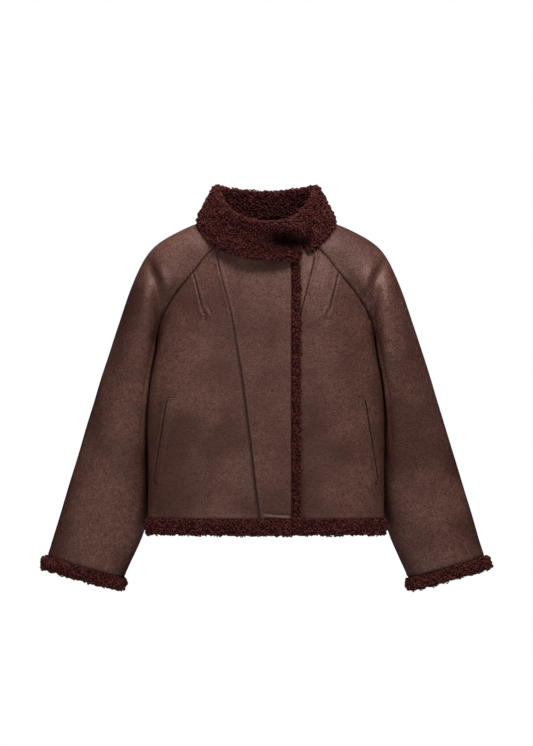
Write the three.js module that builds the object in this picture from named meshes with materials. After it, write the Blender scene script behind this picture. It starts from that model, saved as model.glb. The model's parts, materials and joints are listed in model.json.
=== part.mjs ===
import * as THREE from "three";

// A short double-faced jacket with raglan sleeves, a turned-over collar and a lapped front.
// The outside is leather and the inside is teddy pile, which turns over at the collar, the closing
// edge, the hem and the cuffs. It keeps the form it has when worn, and is open at neck, hem and cuffs.
// Millimetres; +Z is up, -Y is the front and +X is the wearer's left. The origin is the middle of the
// neck at the height of the shoulders, where the wearer's shoulders hold the jacket up.
// Panels lie on one body form, which is read by an angle round the body (0 at the front, 90 degrees at
// the side, 180 at the back) and by a height. Each panel is a wall, a grid of points with thickness.

// ---- Driving sizes ----

const CLOTH = 5; // leather and the pile behind it
const SEAM_GAP = 0.5; // between the walls of two sewn panels
const HEM_Z = -544; // where the leather ends and the hem band starts
const UNDERARM_Z = -232;
const SQUARENESS = 2.35; // 2 is an ellipse, more is boxier
const ROWS_BELOW = 10; // rows of a panel between hem and underarm
const ROWS_ABOVE = 9; // rows of a panel along a raglan seam
const NECK_CELLS = 5; // cells of a sleeve between its two raglan seams at the neck
const SIDE_COLUMNS = 8; // columns of a front's side part
const RIGHT_COLUMNS = 9; // columns of the right front's centre part, and of the left one's
const LEFT_COLUMNS = 7;
const BACK_COLUMNS = 9; // columns of half the back

const CLOSING_X = 48; // the right front's edge, left of the wearer's middle
const UNDERLAP_X = -24; // the left front's edge, hidden under the right front
const RIGHT_LIFT = 3; // how far the right front lies outside the body form where it laps
const RIGHT_LIFT_FROM = -62; // it starts at the first of these places from the middle
const RIGHT_LIFT_FULL = -30;
const LEFT_TUCK = 3.8; // how far the left front lies inside it there, at the neck
const LEFT_TUCK_HEM = 13; // and at the hem, where the thick hem bands pass each other
const TUCK_GROWS_FROM = -250; // height below which the tuck grows towards the hem
const TUCK_FULL = 78; // the tuck is full up to the first of these places from the middle
const TUCK_END = 120;

const BAND_HEIGHT = 32; // hem band
const CUFF_LENGTH = 27; // cuff band
const STRIP_WIDTH = 18; // teddy strip on the closing edge

const LEATHER = { color: 0x5a3f39, roughness: 0.6, metalness: 0 };
const TEDDY = { color: 0x391c1b, roughness: 1, metalness: 0 };

// Body form: half width, reach to the front and to the back, where the form is widest from front to
// back, and how far the arms press its sides in behind that line.
const BODY = [
  { z: -576, half: 227, front: 120, back: 109, widest: -46, press: 22 },
  { z: -470, half: 226, front: 121, back: 106, widest: -46, press: 22 },
  { z: -357, half: 227, front: 123, back: 105, widest: -46, press: 21 },
  { z: -305, half: 224, front: 124, back: 107, widest: -45, press: 19 },
  { z: -258, half: 217, front: 123, back: 110, widest: -40, press: 12 },
  { z: -224, half: 210, front: 121, back: 111, widest: -30, press: 5 },
  { z: -158, half: 203, front: 116, back: 110, widest: -14, press: 0 },
  { z: -115, half: 195, front: 110, back: 106, widest: -12, press: 0 },
  { z: -79, half: 182, front: 104, back: 100, widest: -10, press: 0 },
  { z: -34, half: 150, front: 94, back: 92, widest: -8, press: 0 },
  { z: 0, half: 118, front: 88, back: 84, widest: -8, press: 0 },
  { z: 30, half: 92, front: 80, back: 76, widest: -8, press: 0 },
];

// Neckline, by the angle on the body form.
const NECKLINE = [
  { angle: 0, z: -52 },
  { angle: 15, z: -46 },
  { angle: 33, z: -16 },
  { angle: 60, z: 6 },
  { angle: 90, z: 29 },
  { angle: 120, z: 29 },
  { angle: 150, z: 26 },
  { angle: 180, z: 25 },
];

// The seam that slants down each front, and the side and raglan seams, as angles on the body form.
const SLANTING_SEAM = [
  { z: -543, angle: 1.6 },
  { z: -500, angle: 2.7 },
  { z: -398, angle: 5 },
  { z: -277, angle: 8.7 },
  { z: -224, angle: 11.6 },
  { z: -151, angle: 15.8 },
  { z: -85, angle: 23.4 },
  { z: -60, angle: 28.4 },
  { z: -39, angle: 33.6 },
  { z: -16, angle: 30 },
];
const SIDE_SEAM = [
  { z: -544, angle: 101 },
  { z: -232, angle: 103 },
];
const RAGLAN_FRONT = [
  { z: -232, angle: 103 },
  { z: -195, angle: 84 },
  { z: -158, angle: 71.5 },
  { z: -143, angle: 66.7 },
  { z: -115, angle: 57.7 },
  { z: -79, angle: 46 },
  { z: -34, angle: 40.5 },
  { z: -16, angle: 33 },
];
const RAGLAN_BACK = [
  { z: -232, angle: 103 },
  { z: -185, angle: 111 },
  { z: -135, angle: 119 },
  { z: -85, angle: 127 },
  { z: -30, angle: 138 },
  { z: 26, angle: 150 },
];

// The shoulder: how far each ring has come from the raglan seams to the first sleeve section, and its
// highest point, on the silhouette.
const SHOULDER = [
  { share: 0.16, topX: 132, topZ: 18 },
  { share: 0.33, topX: 160, topZ: 6 },
  { share: 0.5, topX: 184, topZ: -6 },
  { share: 0.67, topX: 206, topZ: -20 },
  { share: 0.84, topX: 226, topZ: -40 },
];

// Sleeve sections from the upper arm to the cuff. Each is a slanting ring from an inner point beside
// the body to an outer point on the silhouette, with its reach to the front and to the back.
const SLEEVE = [
  { innerX: 212, innerZ: -252, outerX: 243, outerZ: -71, front: -80, back: 92 },
  { innerX: 212, innerZ: -280, outerX: 260, outerZ: -114, front: -79, back: 99 },
  { innerX: 212, innerZ: -320, outerX: 280, outerZ: -172, front: -74, back: 103 },
  { innerX: 212, innerZ: -372, outerX: 304, outerZ: -245, front: -67, back: 105 },
  { innerX: 212, innerZ: -436, outerX: 329, outerZ: -325, front: -59, back: 105 },
  { innerX: 213, innerZ: -500, outerX: 354, outerZ: -408, front: -51, back: 103 },
  { innerX: 222, innerZ: -562, outerX: 378, outerZ: -488, front: -45, back: 98 },
  { innerX: 245, innerZ: -613, outerX: 399, outerZ: -558, front: -41, back: 93 },
  { innerX: 267, innerZ: -660, outerX: 417, outerZ: -618, front: -38, back: 88 },
];

// Soft troughs (depth above 0) and ridges (below 0) along lines seen from the front or from behind.
// Heights run downwards, and x is counted from the middle on both sides of the jacket.
const SLEEVE_FOLDS = [
  { face: "front", x0: 222, z0: -62, x1: 204, z1: -104, width: 13, depth: 8 },
  { face: "front", x0: 204, z0: -104, x1: 196, z1: -160, width: 12, depth: 9 },
  { face: "front", x0: 203, z0: -66, x1: 183, z1: -126, width: 11, depth: -4 },
  { face: "front", x0: 262, z0: -330, x1: 222, z1: -372, width: 15, depth: 3 },
  { face: "back", x0: 220, z0: -70, x1: 198, z1: -170, width: 15, depth: 8 },
  { face: "back", x0: 205, z0: -80, x1: 180, z1: -150, width: 13, depth: -4 },
  { face: "back", x0: 300, z0: -345, x1: 238, z1: -392, width: 17, depth: 4 },
];
const BODY_FOLDS = [
  { face: "front", x0: 118, z0: -175, x1: 128, z1: -500, width: 34, depth: -3.5 },
  { face: "front", x0: 82, z0: -230, x1: 72, z1: -520, width: 26, depth: 2 },
  { face: "back", x0: 96, z0: -190, x1: 116, z1: -510, width: 38, depth: -4 },
  { face: "back", x0: 30, z0: -260, x1: 40, z1: -520, width: 30, depth: 2.5 },
];

// Collar: the cloth rises from the neckline, rolls over and falls outside. Each row is a section at an
// angle round the neck, from the hidden left end, round the back, to the right end that laps over it.
// Distances are from the neck's axis to the middle of the cloth; the dent is how far the fall is
// pushed in below the roll.
const NECK_AXIS_Y = -10;
const COLLAR_CLOTH = 8;
const COLLAR_CLEAR = 1; // above the cloth it stands and lies on
const ROLL_RADIUS = 5; // of the middle of the cloth, where it turns over
const COLLAR = [
  { at: -14, foot: -1, rollOut: 84, rollZ: 14, fallOut: 92, fallZ: -10, dent: 0 },
  { at: 12, foot: -2, rollOut: 85, rollZ: 19, fallOut: 94, fallZ: -8, dent: 0 },
  { at: 30, foot: -4, rollOut: 87, rollZ: 25, fallOut: 98, fallZ: -3, dent: 0 },
  { at: 36, foot: -4, rollOut: 88, rollZ: 29, fallOut: 100, fallZ: -2, dent: 0 },
  { at: 38.5, foot: -4, rollOut: 89, rollZ: 31, fallOut: 103, fallZ: -28, dent: 0 },
  { at: 41, foot: -3, rollOut: 90, rollZ: 34, fallOut: 111, fallZ: -40, dent: 0 },
  { at: 47, foot: -1, rollOut: 93, rollZ: 42, fallOut: 118, fallZ: -36, dent: 0 },
  { at: 53, foot: 1, rollOut: 95, rollZ: 50, fallOut: 125, fallZ: -29, dent: 0 },
  { at: 70, foot: 1, rollOut: 97, rollZ: 77, fallOut: 131, fallZ: -6, dent: 0 },
  { at: 90, foot: 1, rollOut: 97, rollZ: 89, fallOut: 132, fallZ: 21, dent: 0 },
  { at: 125, foot: 1, rollOut: 93, rollZ: 88, fallOut: 118, fallZ: 17, dent: 0 },
  { at: 180, foot: 1, rollOut: 86, rollZ: 82, fallOut: 103, fallZ: 12, dent: 0 },
  { at: 235, foot: 1, rollOut: 93, rollZ: 88, fallOut: 118, fallZ: 17, dent: 0 },
  { at: 270, foot: 1, rollOut: 97, rollZ: 89, fallOut: 132, fallZ: 20, dent: 0 },
  { at: 290, foot: 1, rollOut: 98, rollZ: 76, fallOut: 130, fallZ: -7, dent: 0 },
  { at: 310, foot: 2, rollOut: 102, rollZ: 55, fallOut: 126, fallZ: -31, dent: 0 },
  { at: 335, foot: 4, rollOut: 110, rollZ: 29, fallOut: 120, fallZ: -51, dent: 1 },
  { at: 350, foot: 5, rollOut: 114, rollZ: 21, fallOut: 115, fallZ: -57, dent: 3 },
  { at: 375, foot: 4, rollOut: 116, rollZ: 15, fallOut: 112, fallZ: -59, dent: 4 },
  { at: 396, foot: 5, rollOut: 121, rollZ: 4, fallOut: 113, fallZ: -58, dent: 3 },
];
const COLLAR_END = 396; // past the right front's edge, over the end of the closing strip
const STAND_CURVE = 1.5; // how much of its lean outwards the stand gains near the roll
const DENT_REACH = 1.15; // the dent ends this much above the fall's edge
const TIP_ROUND = 0.7; // how round the fall's edge is
const ABOVE_JACKET = 200; // a height above the whole jacket

// Sections of the teddy bands. "out" is measured from the outside of the leather, "down" from its edge.
const HEM_SECTION = [
  { out: -5.5, down: 0.4 },
  { out: 3, down: 0.4 },
  { out: 6.3, down: 4 },
  { out: 7.2, down: 16 },
  { out: 5.2, down: 27 },
  { out: 0, down: BAND_HEIGHT },
  { out: -4, down: 30 },
  { out: -6, down: 20 },
  { out: -6, down: 7 },
];
const CUFF_SECTION = [
  { out: -5.5, down: 0.4 },
  { out: 3, down: 0.4 },
  { out: 8.5, down: 4 },
  { out: 10.5, down: 13 },
  { out: 8, down: 22 },
  { out: 1.5, down: CUFF_LENGTH },
  { out: -4.5, down: 25 },
  { out: -7.5, down: 16 },
  { out: -7, down: 6 },
];
// Section of the closing strip: "out" from the body form, "side" from the middle of the strip.
const STRIP_OUT = 6.5;
const STRIP_IN = -3;
const STRIP_GAP = 0.4; // between the strip and the right front's edge
const STRIP_ROUND = 3;
const STRIP_FACE = 0.55; // share of its width that is flat
const STRIP_AT_BAND = 3.5; // how much further out it is where it covers the hem band
const STRIP_RISE_FROM = 12; // above the hem, where it starts to come further out
const STRIP_RISE_OVER = 16; // and the length over which it does
const STRIP_TOP = -60.4; // just below the collar's edge
const STRIP_FOOT = 2; // how much higher than the hem band it ends
const STRIP_STEPS = 22;

// Slanting pocket on each side, as a line on the body form from its upper to its lower end.
const POCKET = { topX: 186, topZ: -320, endX: 211, endZ: -473 };
const WELT_WIDTH = 8;
const WELT_RISE = 2;
const WELT_FACE = 0.8; // share of its width that is flat
const WELT_GAP = 0.4;
const WELT_STEPS = 10;

// ---- Curves and vectors ----

const RIGHT = -1;
const LEFT = 1;
const DEGREE = Math.PI / 180;
const UP = new THREE.Vector3(0, 0, 1);

const lerp = THREE.MathUtils.lerp;
const smooth = THREE.MathUtils.smoothstep;
const point = (x, y, z) => new THREE.Vector3(x, y, z);
const range = (count) => Array.from({ length: count }, (_, i) => i);

/** Reads one column of a table as a smooth function of another column. */
function reader(table, by, column) {
  const rows = [...table].sort((a, b) => a[by] - b[by]);
  const knots = rows.map((row) => row[by]);
  const values = rows.map((row) => row[column]);
  const last = rows.length - 1;
  const slopes = values.map((_, i) => {
    const low = Math.max(0, i - 1);
    const high = Math.min(last, i + 1);
    return (values[high] - values[low]) / (knots[high] - knots[low]);
  });
  return (at) => {
    if (at <= knots[0]) return values[0];
    if (at >= knots[last]) return values[last];
    const i = knots.findIndex((knot) => knot > at) - 1;
    const span = knots[i + 1] - knots[i];
    const t = (at - knots[i]) / span;
    const t2 = t * t;
    const t3 = t2 * t;
    return (
      values[i] * (2 * t3 - 3 * t2 + 1) +
      values[i + 1] * (3 * t2 - 2 * t3) +
      slopes[i] * span * (t3 - 2 * t2 + t) +
      slopes[i + 1] * span * (t3 - t2)
    );
  };
}

/** A reader for each column of a table. */
function readers(table, by) {
  return Object.fromEntries(Object.keys(table[0]).map((key) => [key, reader(table, by, key)]));
}

/** A power that keeps the sign, for rings between an ellipse and a box. */
function rounded(value) {
  return Math.sign(value) * Math.abs(value) ** (2 / SQUARENESS);
}

// ---- The body form ----

const body = readers(BODY, "z");
const neckZ = reader(NECKLINE, "angle", "z");

/** How far folds sink the cloth at a place seen from the front or from behind. */
function foldDepth(folds, place) {
  const face = place.y < 0 ? "front" : "back";
  const seen = new THREE.Vector2(Math.abs(place.x), place.z);
  return folds
    .filter((fold) => fold.face === face)
    .reduce((sum, fold) => {
      const start = new THREE.Vector2(fold.x0, fold.z0);
      const along = new THREE.Vector2(fold.x1, fold.z1).sub(start);
      const offset = seen.clone().sub(start);
      const t = THREE.MathUtils.clamp(offset.dot(along) / along.lengthSq(), 0, 1);
      const distance = offset.addScaledVector(along, -t).length();
      const ends = 0.35 + 0.65 * Math.sin(Math.PI * t) ** 0.6;
      return sum + fold.depth * ends * Math.exp(-((distance / fold.width) ** 2));
    }, 0);
}

/** A point of the smooth body form, by angle in degrees and height. */
function formPoint(angle, z) {
  const across = rounded(Math.sin(angle * DEGREE));
  const along = rounded(Math.cos(angle * DEGREE));
  const widest = body.widest(z);
  const reach = along > 0 ? body.front(z) + widest : body.back(z) - widest;
  const behind = Math.max(0, -along);
  const pressed = smooth(behind, 0, 0.3) * (1 - smooth(behind, 0.7, 1));
  const x = body.half(z) * across - Math.sign(across) * body.press(z) * pressed;
  return point(x, widest - reach * along, z);
}

/** The outward direction of the body form. */
function formNormal(angle, z) {
  const step = 1;
  const round = formPoint(angle + step, z).sub(formPoint(angle - step, z));
  const rise = formPoint(angle, z + step).sub(formPoint(angle, z - step));
  return round.cross(rise).normalize();
}

/** A point on the outside of the body, moved out by "offset", with its folds. */
function bodyPoint(angle, z, offset = 0) {
  const base = formPoint(angle, z);
  return base.addScaledVector(formNormal(angle, z), offset - foldDepth(BODY_FOLDS, base));
}

/** The angle at which the front of the body form reaches x. */
function angleAt(x, z) {
  const across = THREE.MathUtils.clamp(x / body.half(z), -1, 1);
  return (Math.asin(Math.sign(across) * Math.abs(across) ** (SQUARENESS / 2))) / DEGREE;
}

/** Half width of the body form at a place behind its widest line, to keep the sleeves clear. */
function sideX(y, z) {
  const widest = body.widest(z);
  const reach = y < widest ? body.front(z) + widest : body.back(z) - widest;
  const along = THREE.MathUtils.clamp(Math.abs(y - widest) / reach, 0, 1) ** (SQUARENESS / 2);
  const quarter = Math.acos(along) / DEGREE;
  return formPoint(y < widest ? quarter : 180 - quarter, z).x;
}

// ---- Closed solids ----

/** A mesh from points and triangles, turned so that its faces point outwards. */
function solid(positions, faces) {
  const volume = faces.reduce((sum, [a, b, c]) => {
    return sum + positions[a].dot(positions[b].clone().cross(positions[c])) / 6;
  }, 0);
  const index = faces.flatMap(([a, b, c]) => (volume < 0 ? [a, c, b] : [a, b, c]));
  const geometry = new THREE.BufferGeometry();
  const values = positions.flatMap((p) => p.toArray());
  geometry.setAttribute("position", new THREE.Float32BufferAttribute(values, 3));
  geometry.setIndex(index);
  geometry.computeVertexNormals();
  return geometry;
}

/** The two triangles of a four-sided face. */
function quad(a, b, c, d) {
  return [
    [a, b, c],
    [a, c, d],
  ];
}

/** A wall with thickness behind a grid of outer points; "around" joins its first and last columns. */
function wall(rows, normals, around = false) {
  const height = rows.length;
  const width = rows[0].length;
  const outside = rows.flat();
  const inside = outside.map((p, i) => p.clone().addScaledVector(normals.flat()[i], -CLOTH));
  const outer = (r, c) => r * width + (c % width);
  const inner = (r, c) => outside.length + outer(r, c);
  const faces = [];
  const columns = around ? width : width - 1;
  for (const c of range(columns)) {
    for (const r of range(height - 1)) {
      faces.push(...quad(outer(r, c), outer(r, c + 1), outer(r + 1, c + 1), outer(r + 1, c)));
      faces.push(...quad(inner(r, c), inner(r + 1, c), inner(r + 1, c + 1), inner(r, c + 1)));
    }
    faces.push(...quad(outer(0, c), inner(0, c), inner(0, c + 1), outer(0, c + 1)));
    const top = height - 1;
    faces.push(...quad(outer(top, c), outer(top, c + 1), inner(top, c + 1), inner(top, c)));
  }
  if (!around) {
    const end = width - 1;
    for (const r of range(height - 1)) {
      faces.push(...quad(outer(r, 0), outer(r + 1, 0), inner(r + 1, 0), inner(r, 0)));
      faces.push(...quad(outer(r, end), inner(r, end), inner(r + 1, end), outer(r + 1, end)));
    }
  }
  return solid([...outside, ...inside], faces);
}

/** An outline of [x, y] pairs. */
function flat(pairs) {
  return pairs.map(([x, y]) => new THREE.Vector2(x, y));
}

/** A bar through sections: "around" joins its two ends, otherwise "ends" has the outlines of its caps. */
function bar(sections, { around = false, ends = [] }) {
  const size = sections[0].length;
  const count = sections.length;
  const at = (s, k) => (s % count) * size + (k % size);
  const faces = [];
  for (const s of range(around ? count : count - 1)) {
    for (const k of range(size)) faces.push(...quad(at(s, k), at(s, k + 1), at(s + 1, k + 1), at(s + 1, k)));
  }
  ends.forEach((outline, i) => {
    for (const corners of THREE.ShapeUtils.triangulateShape(outline, [])) {
      const facing = THREE.ShapeUtils.isClockWise(outline) === (i === 0) ? corners : corners.reverse();
      faces.push(facing.map((k) => at(i * (count - 1), k)));
    }
  });
  return solid(sections.flat(), faces);
}

/** Moves an edge of a grid back from its seam, by half the gap between two panels. */
function pullBack(edge, beside) {
  edge.forEach((p, i) => {
    p.addScaledVector(beside[i].clone().sub(p).normalize(), SEAM_GAP / 2);
  });
}

const group = new THREE.Group();

/** Adds one named piece. */
function piece(name, geometry, finish) {
  const mesh = new THREE.Mesh(geometry, new THREE.MeshStandardMaterial(finish));
  mesh.name = name;
  group.add(mesh);
}

// ---- Seams ----

const slantingAngle = reader(SLANTING_SEAM, "z", "angle");
const sideAngle = reader(SIDE_SEAM, "z", "angle");
const raglanFront = reader(RAGLAN_FRONT, "z", "angle");
const raglanBack = reader(RAGLAN_BACK, "z", "angle");
const RAGLAN_TOP = NECKLINE[2];
const RAGLAN_BACK_TOP = NECKLINE[6];
const SLANT_TOP_ANGLE = SLANTING_SEAM.at(-1).angle;

/** Heights of a side panel's outer edge, up the side seam and then up a raglan seam. */
function edgeHeights(topZ) {
  const below = range(ROWS_BELOW).map((row) => lerp(HEM_Z, UNDERARM_Z, row / ROWS_BELOW));
  const above = range(ROWS_ABOVE + 1).map((row) => lerp(UNDERARM_Z, topZ, row / ROWS_ABOVE));
  return [...below, ...above];
}

const FRONT_EDGE = edgeHeights(RAGLAN_TOP.z);
const BACK_EDGE = edgeHeights(RAGLAN_BACK_TOP.z);

// ---- Sleeves ----

const SLEEVE_CLEAR = 4; // between a sleeve and the body it hangs beside
const SHOULDER_CLEAR = 0.5; // the same at the seam, from which it grows
const BAND_CLEAR = 8; // how much more it is beside the hem band, which stands out
const BAND_CLEAR_FROM = HEM_Z + 25;
const WALLS_PART = 0.3; // two walls part at a seam where their directions agree less than this
const ARMPIT_TOP = UNDERARM_Z + 45; // height up to which the two lie close together

const NECK_TURN = 150; // turn round the sleeve at the top of a raglan seam

/** The turn round a sleeve of a point part of the way up a raglan seam, evenly spaced in height. */
function turnAt(share) {
  const height = (share * (1 - Math.cos(NECK_TURN * DEGREE))) / 2;
  return Math.acos(1 - 2 * height) / DEGREE;
}

/** Places round a sleeve, from the underarm up the front raglan seam, over and down the back one. */
function sleeveRound() {
  const front = range(ROWS_ABOVE + 1).map((i) => ({
    z: FRONT_EDGE[ROWS_BELOW + i],
    raglan: raglanFront,
    turn: turnAt(i / ROWS_ABOVE),
  }));
  const neck = range(NECK_CELLS - 1).map((i) => {
    const share = (i + 1) / NECK_CELLS;
    return {
      neckAngle: lerp(RAGLAN_TOP.angle, RAGLAN_BACK_TOP.angle, share),
      turn: lerp(NECK_TURN, 360 - NECK_TURN, share),
    };
  });
  const back = range(ROWS_ABOVE).map((i) => ({
    z: BACK_EDGE[BACK_EDGE.length - 1 - i],
    raglan: raglanBack,
    turn: 360 - turnAt(1 - i / ROWS_ABOVE),
  }));
  return [...front, ...neck, ...back];
}

/** Where a sleeve starts on the body form, and the direction out of the body there. */
function sleeveStart(place) {
  const angle = place.neckAngle ?? place.raglan(place.z);
  const z = place.z ?? neckZ(angle);
  return { p: bodyPoint(angle, z), out: formNormal(angle, z) };
}

/** A point of a sleeve section, by the turn round it in degrees (0 beside the body, 90 in front). */
function sectionPoint(row, turn) {
  const inward = rounded(Math.cos(turn * DEGREE));
  const forward = rounded(Math.sin(turn * DEGREE));
  const middleY = (row.front + row.back) / 2;
  const p = point(
    lerp(row.outerX, row.innerX, (1 + inward) / 2),
    middleY - (forward * (row.back - row.front)) / 2,
    lerp(row.outerZ, row.innerZ, (1 + inward) / 2),
  );
  const band = smooth(-p.z, -BAND_CLEAR_FROM, -HEM_Z) * BAND_CLEAR;
  return p.z > UNDERARM_Z ? p : besideBody(p, SLEEVE_CLEAR + band);
}

/** A point moved outwards where it would be nearer than this to the body form. */
function besideBody(p, clear) {
  return p.setX(Math.max(p.x, sideX(p.y, Math.max(p.z, BODY[0].z)) + clear));
}

/** Directions out of a grid that runs round, from its neighbours. */
function gridNormals(rows) {
  const width = rows[0].length;
  return rows.map((row, r) =>
    row.map((_, c) => {
      const above = rows[Math.max(0, r - 1)][c];
      const below = rows[Math.min(rows.length - 1, r + 1)][c];
      const before = row[(c + width - 1) % width];
      const after = row[(c + 1) % width];
      return below.clone().sub(above).cross(after.clone().sub(before)).normalize();
    }),
  );
}

/** A ring of the shoulder, on the way from the raglan seams to the first section of the sleeve. */
function shoulderRing(row, places, first, section) {
  const neckTop = formPoint(90, neckZ(90));
  const armTop = sectionPoint(SLEEVE[0], 180);
  const raised = point(row.topX, 0, row.topZ).sub(neckTop.lerp(armTop, row.share)).setY(0);
  return places.map(({ turn }, i) => {
    const upward = ((1 - Math.cos(turn * DEGREE)) / 2) ** 2;
    const p = first[i].clone().lerp(section[i], row.share).addScaledVector(raised, upward);
    return p.z > ARMPIT_TOP ? p : besideBody(p, SLEEVE_CLEAR * Math.sqrt(row.share) + SHOULDER_CLEAR);
  });
}

/** The left sleeve: a ring on the body form, the shoulder, then the ring of each section. */
function leftSleeve() {
  const places = sleeveRound();
  const starts = places.map(sleeveStart);
  const first = starts.map(({ p }) => p);
  const sections = SLEEVE.map((row) => places.map(({ turn }) => sectionPoint(row, turn)));
  const shoulder = SHOULDER.map((row) => shoulderRing(row, places, first, sections[0]));
  const rings = [first, ...shoulder, ...sections];
  const plain = gridNormals(rings);
  const rows = rings.map((ring, r) => {
    const free = smooth(r, 0, SHOULDER.length); // folds die out towards the seams
    return ring.map((p, c) => p.clone().addScaledVector(plain[r][c], -free * foldDepth(SLEEVE_FOLDS, p)));
  });
  const normals = gridNormals(rows);
  const seams = starts.map(({ p, out }, i) => {
    const run = first[(i + 1) % first.length].clone().sub(first.at(i - 1)).normalize();
    const intoBody = out.clone().cross(run);
    const intoSleeve = rows[1][i].clone().sub(p).normalize();
    const own = normals[0][i];
    const open = places[i].neckAngle || out.dot(own) < WALLS_PART;
    const shared = out.clone().add(own).normalize();
    return {
      bodyNormal: open ? out : shared,
      sleeveNormal: open ? own : shared,
      apart: intoSleeve.sub(intoBody).setLength(SEAM_GAP / 2),
    };
  });
  rows[0] = rows[0].map((p, i) => p.clone().add(seams[i].apart));
  normals[0] = seams.map(({ sleeveNormal }) => sleeveNormal);
  return { rows, normals, seams };
}

/** A grid on the other side of the jacket. */
function mirrored({ rows, normals }) {
  const turned = (grid) => grid.map((row) => row.map((p) => p.clone().setX(-p.x)));
  return { rows: turned(rows), normals: turned(normals) };
}

const leftSleeveGrid = leftSleeve();

// ---- Body panels ----

/** How far the fronts leave the body form where one laps over the other. */
function lapOffset(side, x, z) {
  if (side === RIGHT) return RIGHT_LIFT * smooth(x, RIGHT_LIFT_FROM, RIGHT_LIFT_FULL);
  const deep = lerp(LEFT_TUCK, LEFT_TUCK_HEM, smooth(-z, -TUCK_GROWS_FROM, -HEM_Z));
  return -deep * (1 - smooth(x, TUCK_FULL, TUCK_END));
}

/** The outer edge of a body panel at one row: its place and, on a raglan seam, the seam itself. */
function outerEdge(row, heights, raglan, seam) {
  const z = heights[row];
  if (row < ROWS_BELOW) return { angle: sideAngle(z), z };
  return { angle: raglan(z), z, seam: seam(row - ROWS_BELOW) };
}

/** Share of the way up a panel at one row. */
function rise(row) {
  return (FRONT_EDGE[row] - HEM_Z) / (RAGLAN_TOP.z - HEM_Z);
}

/** The slanting seam at one row, shared by the centre and side parts of a front. */
function slantingEdge(row) {
  const z = lerp(HEM_Z, neckZ(SLANT_TOP_ANGLE), rise(row));
  return { angle: slantingAngle(z), z };
}

/** A grid of one front panel, read from a function of row and share across. */
function frontGrid(side, columns, place) {
  const places = range(FRONT_EDGE.length).map((row) =>
    range(columns + 1).map((column) => place(row, column / columns)),
  );
  const outside = ({ angle, z, seam }) => {
    const x = side * formPoint(angle, z).x;
    const p = bodyPoint(angle, z, lapOffset(side, x, z));
    return seam ? p.sub(seam.apart) : p;
  };
  const direction = ({ angle, z, seam }) => seam?.bodyNormal.clone() ?? formNormal(angle, z);
  const sided = (p) => p.setX(side * p.x);
  return {
    rows: places.map((row) => row.map((spot) => sided(outside(spot)))),
    normals: places.map((row) => row.map((spot) => sided(direction(spot)))),
  };
}

/** Column of a grid. */
function column(rows, index) {
  return rows.map((row) => row.at(index));
}

/** The part of a grid's column below the underarm. */
function sideSeam(rows, index) {
  return column(rows, index).slice(0, ROWS_BELOW);
}

/** The side part of a front, from the slanting seam to the side and raglan seams. */
function frontSide(side) {
  const grid = frontGrid(side, SIDE_COLUMNS, (row, share) => {
    const near = slantingEdge(row);
    const far = outerEdge(row, FRONT_EDGE, raglanFront, (i) => leftSleeveGrid.seams[i]);
    if (share === 1) return far;
    return { angle: lerp(near.angle, far.angle, share), z: lerp(near.z, far.z, share) };
  });
  pullBack(column(grid.rows, 0), column(grid.rows, 1));
  pullBack(sideSeam(grid.rows, -1), sideSeam(grid.rows, -2));
  return grid;
}

/** The centre part of a front, from its free edge to the slanting seam. */
function frontCentre(side, edgeX, columns) {
  const freeX = side * edgeX; // counted towards this front's own side
  const topAngle = angleAt(freeX, neckZ(Math.abs(angleAt(freeX, NECKLINE[0].z))));
  const grid = frontGrid(side, columns, (row, share) => {
    const seam = slantingEdge(row);
    const topZ = neckZ(Math.abs(lerp(topAngle, SLANT_TOP_ANGLE, share)));
    const z = lerp(HEM_Z, topZ, rise(row));
    const free = angleAt(freeX, z);
    return { angle: lerp(free, seam.angle, share), z: share === 1 ? seam.z : z };
  });
  pullBack(column(grid.rows, -1), column(grid.rows, -2));
  return grid;
}

/** The back, from one side and raglan seam to the other. */
function backPanel() {
  const rows = [];
  const normals = [];
  for (const row of range(BACK_EDGE.length)) {
    const edge = outerEdge(row, BACK_EDGE, raglanBack, (i) => leftSleeveGrid.seams.at(-i));
    const share = (edge.z - HEM_Z) / (RAGLAN_BACK_TOP.z - HEM_Z);
    const centreZ = lerp(HEM_Z, neckZ(180), share);
    const places = range(2 * BACK_COLUMNS + 1).map((step) => {
      const across = Math.abs(step - BACK_COLUMNS) / BACK_COLUMNS;
      const side = step < BACK_COLUMNS ? LEFT : RIGHT;
      const angle = lerp(180, edge.angle, across);
      const z = lerp(centreZ, edge.z, across);
      const seam = across === 1 ? edge.seam : undefined;
      const p = seam ? bodyPoint(angle, z).sub(seam.apart) : bodyPoint(angle, z);
      const n = seam ? seam.bodyNormal.clone() : formNormal(angle, z);
      return { p: p.setX(side * p.x), n: n.setX(side * n.x) };
    });
    rows.push(places.map(({ p }) => p));
    normals.push(places.map(({ n }) => n));
  }
  pullBack(sideSeam(rows, 0), sideSeam(rows, 1));
  pullBack(sideSeam(rows, -1), sideSeam(rows, -2));
  return { rows, normals };
}

// ---- Collar ----

/** A line of points with the middle of each step added. */
function halved(points) {
  return points.flatMap((p, i) => (i ? [points[i - 1].clone().lerp(p, 0.5), p] : [p]));
}

/** The neckline's points from the hidden left end, round the back, to the closing edge. */
function necklinePath(fronts, backGrid) {
  const sleeve = leftSleeveGrid.rows[0].slice(ROWS_ABOVE, ROWS_ABOVE + NECK_CELLS + 1);
  const overShoulder = halved(sleeve).slice(1, -1);
  const mirrored = overShoulder.map((p) => p.clone().setX(-p.x)).reverse();
  const hiddenEnd = fronts.leftCentre.rows.at(-1);
  return [
    ...hiddenEnd.slice(0, -2),
    ...halved(halved(hiddenEnd.slice(-2))),
    ...fronts.leftSide.rows.at(-1).slice(-1),
    ...overShoulder,
    ...backGrid.rows.at(-1),
    ...mirrored,
    ...fronts.rightSide.rows.at(-1).slice(-1),
    ...[...fronts.rightCentre.rows.at(-1)].reverse(),
  ];
}

const collar = readers(COLLAR, "at");

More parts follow.
